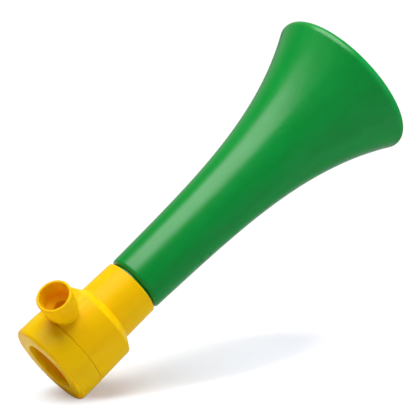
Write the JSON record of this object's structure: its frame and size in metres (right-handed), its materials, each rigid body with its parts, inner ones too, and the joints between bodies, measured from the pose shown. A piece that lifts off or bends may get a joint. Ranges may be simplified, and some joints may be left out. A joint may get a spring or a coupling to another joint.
{
  "type": "film-diaphragm blown horn",
  "caption": "Blown stadium horn with a flared bell, a straight sound tube and a head that holds a film diaphragm under a pull-off cap, with a blow spout at its side.",
  "frame": {"origin": "centre of the circle that the bell's rim rests on, with the horn standing on its bell", "axes": "+Z along the horn's axis from the bell to the cap, -Y to the side that the blow spout points to, +X to the right of someone facing the spout"},
  "size_m": [0.085, 0.085, 0.215],
  "materials": {
    "green_plastic": "satin-gloss moulded",
    "yellow_plastic": "satin-gloss moulded",
    "film": "milky stretched film"
  },
  "bodies": {
    "bell": {"bell": "green_plastic"},
    "sound_tube": {"sound_tube": "green_plastic"},
    "head": {"head_housing": "yellow_plastic", "blow_spout": "yellow_plastic", "diaphragm": "film", "clamp_ring": "yellow_plastic"},
    "cap": {"end_cap": "yellow_plastic"}
  },
  "joints": [
    {"name": "bell_pull", "type": "slide", "parent": "bell", "child": "sound_tube", "axis": [0, 0, 1], "range_m": [0, 0.018]},
    {"name": "head_turn", "type": "hinge", "parent": "sound_tube", "child": "head", "pos_m": [0, 0, 0.194], "axis": [0, 0, 1], "continuous": true},
    {"name": "cap_pull", "type": "slide", "parent": "head", "child": "cap", "axis": [0, 0, 1], "range_m": [0, 0.016]}
  ]
}
